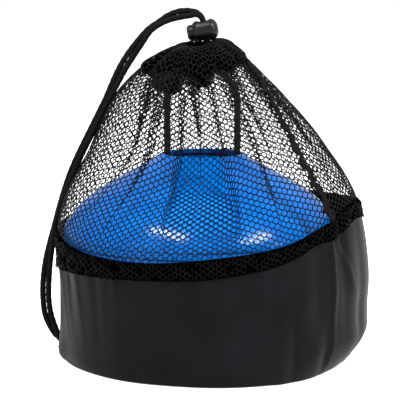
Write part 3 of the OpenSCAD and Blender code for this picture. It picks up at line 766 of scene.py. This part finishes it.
# The casing's cloth stands for the inner layers of net; its near-black colour is painted shade.
finish_with(casing, shade_material)
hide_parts("gathered_casing")
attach(casing, "bag")
casing_normal = unit(np.cross(np.roll(casing_points, -1, axis=1) - np.roll(casing_points, 1, axis=1),
                              np.gradient(casing_points, axis=0)))
casing_holes, casing_net_row, casing_thread, casing_net_off = 46, 0.0021, 0.00027, 0.0013
casing_sway, casing_swell = 0.0018, 0.0012


def casing_place(flat):
    around = flat[:, 0] + casing_sway * np.sin(flat[:, 1] * 260 + flat[:, 0] * 60)
    upwards = flat[:, 1] + casing_swell * np.sin(flat[:, 0] * 340) * np.sin(flat[:, 1] * 68)
    cols, rows = around / casing_girth * casing_cols, upwards / casing_tall * casing_rows
    return on_grid(casing_points + casing_net_off * casing_normal, cols, rows)


casing_net = net_sheet("gathered_casing_net", casing_place, 0.0, casing_girth,
                       lambda along: np.full(np.shape(along), casing_tall),
                       casing_girth / casing_holes, casing_net_row, thread=casing_thread)
thicken(casing_net, doubled_t, 0)
finish_with(casing_net, net_material)
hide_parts("gathered_casing")
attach(casing_net, "bag")

# ---- Strap bar tack ----
# A short folded tab of black polyester, sewn in with the wall, holds both cord ends in the base
# seam. It has the cord's own material.
finish_with(bpy.data.objects["strap_bar_tack"], cord_material)

# ---- Discs ----
# Eighteen saucer markers, injection-moulded in blue low-density polyethylene and nested on each
# other. Each has a rolled bead round the hole in its crown and an upright lip.
def dome_under(u):
    slope = dome_h / (shoulder_r - hole_r) * (straight + (1 - straight) * 6 * u ** 5)
    return dome(u) - disc_wall * math.sqrt(1 + slope * slope)


def lathe(name, profile, steps):
    """A closed profile of (radius, height) points turned once round the Z axis."""
    bpy.ops.object.select_all(action="DESELECT")
    bpy.ops.mesh.primitive_plane_add(size=0.001, location=(0, 0, 0))
    made = bpy.context.object
    made.name = made.data.name = name
    bpy.ops.object.mode_set(mode="EDIT")
    bpy.ops.mesh.select_all(action="SELECT")
    bpy.ops.mesh.merge(type="CENTER")
    bpy.ops.transform.translate(value=(profile[0][0], 0, profile[0][1]))
    for (r0, z0), (r1, z1) in zip(profile, profile[1:] + profile[:1]):
        bpy.ops.mesh.extrude_region_move(TRANSFORM_OT_translate={"value": (r1 - r0, 0, z1 - z0)})
    bpy.ops.mesh.select_all(action="SELECT")
    bpy.ops.mesh.remove_doubles(threshold=0.00001)
    bpy.ops.mesh.spin(steps=steps, angle=2 * math.pi, center=(0, 0, 0), axis=(0, 0, 1))
    bpy.ops.object.mode_set(mode="OBJECT")
    weld(made, 0.00001)
    bpy.ops.object.shade_smooth_by_angle(angle=math.radians(35))
    return made


# The dome's points lie closer together towards the lip, where it turns down.
dome_steps = 22
arc = [1 - (1 - step / dome_steps) ** 1.5 for step in range(dome_steps + 1)]
bead_u = bead_w / (shoulder_r - hole_r)
outer_u = [bead_u + (1 - bead_u) * s for s in arc]
under_u = [s * (lip_in_r - hole_r) / (shoulder_r - hole_r) for s in reversed(arc)]
crown = lip_h + dome_h + bead_h
# Up the inside of the hole, over the bead and down on to the dome.
bead_line = [(hole_r + 0.0002, crown - 0.0016), (hole_r, crown - 0.0009), (hole_r + 0.0003, crown - 0.0003),
             (hole_r + 0.0009, crown), (hole_r + 0.0016, crown - 0.0002), (hole_r + bead_w, crown - 0.0008)]
profile = bead_line + [(hole_r + (shoulder_r - hole_r) * u, dome(u)) for u in outer_u[1:]]
profile += [(lip_r - 0.0001, 0.0006), (lip_r - 0.0001, 0), (lip_in_r, 0)]
profile += [(hole_r + (shoulder_r - hole_r) * u, dome_under(u)) for u in under_u]
first_disc = lathe("disc_01_moulding", profile, 128)

# Low-density polyethylene: smooth and waxy, with a soft gloss that is uneven where the skin is
# rubbed, as the blue is, in patches of about 20 mm, over a fine moulding grain of 1.4 mm.
disc_material, shader = new_material("blue_polyethylene", IOR=1.51, Specular_IOR_Level=0.15)
mottle(disc_material, shader, 45, 4, {"Base Color": [(0.3, "#0069ca"), (0.72, "#0077da")],
                                      "Roughness": [(0.35, 0.12), (0.7, 0.18)]})
mottle(disc_material, shader, 700, 2, {}, bump=0.00004)
finish_with(first_disc, disc_material)

for i in range(disc_count, 0, -1):
    node = f"disc_{i:02d}"
    if i > 1:
        piece = bpy.data.objects.new(node + "_moulding", first_disc.data.copy())
        scene.collection.objects.link(piece)
    else:
        piece = first_disc
    piece.data.transform(Matrix.Translation((stack_x, 0, disc_foot + (i - 1) * disc_pitch)))
    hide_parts(node)
    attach(piece, "top_disc" if i == disc_count else "disc_stack")

# ---- Carrier ----
# A foot with four arms and a bar bent into an arch, both injection-moulded in black polypropylene;
# the bar's legs snap into sockets in the foot. The discs drop over the arch.

# Polypropylene: black and satin, with a fine spark-eroded grain of about 1 mm.
carrier_material, shader = new_material("moulded_polypropylene", IOR=1.49, Roughness=0.5,
                                        Specular_IOR_Level=0.1)
mottle(carrier_material, shader, 60, 4, {"Base Color": [(0.3, "#101012"), (0.7, "#19191b")]})
mottle(carrier_material, shader, 900, 2, {}, bump=0.00006)
for node in ("carrier_foot", "carrier_handle"):
    finish_with(bpy.data.objects[node], carrier_material)

# ---- Cord lock ----
# A ball-shaped spring lock in satin black ABS: a hollow body, a cross-drilled plunger whose button
# stands out at the left, and a small steel spring behind it.

# ABS: hard and smooth, with a satin grain of about 0.4 mm.
lock_material, shader = new_material("satin_abs", IOR=1.53, Roughness=0.34, Specular_IOR_Level=0.14)
mottle(lock_material, shader, 160, 4, {"Base Color": [(0.3, "#0b0b0d"), (0.7, "#131315")]})
mottle(lock_material, shader, 2600, 2, {}, bump=0.00003)
for node in ("lock_body", "lock_plunger"):
    finish_with(bpy.data.objects[node], lock_material)

# Drawn spring steel: bright, with fine marks of the drawing.
steel, shader = new_material("drawn_spring_steel", Metallic=1.0, Roughness=0.28)
mottle(steel, shader, 3000, 2, {"Base Color": [(0.3, "#a8a8ac"), (0.7, "#c8c8cc")]})
# The real spring shortens towards the closed end of its pocket as the button goes in; here its points
# are only measured along the line the button travels.
lock_tip, button_travel = math.radians(10), 0.0024
spring = bpy.data.objects.new("lock_spring_coil", bpy.data.objects["lock_spring"].data.copy())
scene.collection.objects.link(spring)
weld(spring, 0.000002)
finish_with(spring, steel)
press = np.array([math.cos(lock_tip), 0, math.sin(lock_tip)])
coil = np.array([v.co for v in spring.data.vertices])
reach = coil @ press
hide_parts("lock_spring")
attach(spring, "cord_lock")
tuple(coil[reach.argmax()])
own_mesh(spring)

# ---- Floor, light and background ----
# A white sheet in a white room. Two soft boxes light the set from the left and the right of the
# camera, and two long narrow ones from high up in front.
bpy.ops.object.select_all(action="DESELECT")
bpy.ops.mesh.primitive_plane_add(size=16, location=(0, 0, 0))
floor = bpy.context.object
floor.name = "floor"
floor_material, shader = new_material("white_floor", Base_Color=linear("#f4f4f4"), Roughness=0.9,
                                      Specular_IOR_Level=0.1)


def seeing_rays(owner):
    """One for rays that look at the room straight, in a reflection or through something clear."""
    rays = add_node(owner, "ShaderNodeLightPath", {})
    shiny = add_node(owner, "ShaderNodeMath", {"operation": "MAXIMUM"},
                     [(0, rays.outputs["Is Camera Ray"]), (1, rays.outputs["Is Glossy Ray"])])
    clear = add_node(owner, "ShaderNodeMath", {"operation": "MAXIMUM"},
                     [(0, shiny.outputs[0]), (1, rays.outputs["Is Transmission Ray"])])
    return clear.outputs[0]


# Where it is seen the sheet glows, more with distance, so that it runs into the room without an edge.
tree = floor_material.node_tree
glow = add_node(floor_material, "ShaderNodeEmission", {"Color": (1, 1, 1, 1)})
floor_place = add_node(floor_material, "ShaderNodeTexCoord", {})
far = add_node(floor_material, "ShaderNodeVectorMath", {"operation": "LENGTH"},
               [(0, floor_place.outputs["Object"])])
glow_level = add_node(floor_material, "ShaderNodeMapRange",
                      {"From Min": 0.3, "From Max": 1.0, "To Min": 0.62, "To Max": 1.0},
                      [("Value", far.outputs["Value"])])
glow_share = add_node(floor_material, "ShaderNodeMath", {"operation": "MULTIPLY"},
                      [(0, seeing_rays(floor_material)), (1, glow_level.outputs["Result"])])
tree.links.new(glow_share.outputs[0], glow.inputs["Strength"])
both = add_node(floor_material, "ShaderNodeAddShader", {}, [(0, shader.outputs[0]), (1, glow.outputs[0])])
tree.links.new(both.outputs[0], tree.nodes["Material Output"].inputs["Surface"])
finish_with(floor, floor_material)

world = bpy.data.worlds.new("white_room")
scene.world = world
world.use_nodes = True
sky = world.node_tree.nodes["Background"]
sky.inputs["Color"].default_value = (1, 1, 1, 1)
# The room looks white, and lights the set with a fifth of that.
level = add_node(world, "ShaderNodeMapRange", {"To Min": 0.2, "To Max": 1.0},
                 [("Value", seeing_rays(world))])
world.node_tree.links.new(level.outputs["Result"], sky.inputs["Strength"])


def soft_box(name, place, aim, size, watts):
    """A rectangular area light that faces a point."""
    bpy.ops.object.light_add(type="AREA", location=place)
    lamp = bpy.context.object
    lamp.name = name
    lamp.data.shape = "RECTANGLE"
    lamp.data.size, lamp.data.size_y = size
    lamp.data.energy = watts
    direction = np.array(aim) - np.array(place)
    yaw = math.atan2(direction[1], direction[0]) - math.pi / 2
    pitch = math.atan2(direction[2], math.hypot(direction[0], direction[1])) + math.pi / 2
    lamp.rotation_euler = (pitch, 0, yaw)


soft_box("left_box", (-1.4, -1.1, 0.9), (0, 0, 0.1), (0.7, 0.5), 5)
soft_box("right_box", (1.6, -0.7, 0.75), (0, 0, 0.1), (0.6, 0.6), 12)
soft_box("top_left_box", (-0.6, -0.62, 1.55), (0, 0, 0.1), (0.75, 0.16), 38)
soft_box("top_right_box", (1.02, -0.6, 1.5), (0, 0, 0.1), (0.7, 0.16), 38)
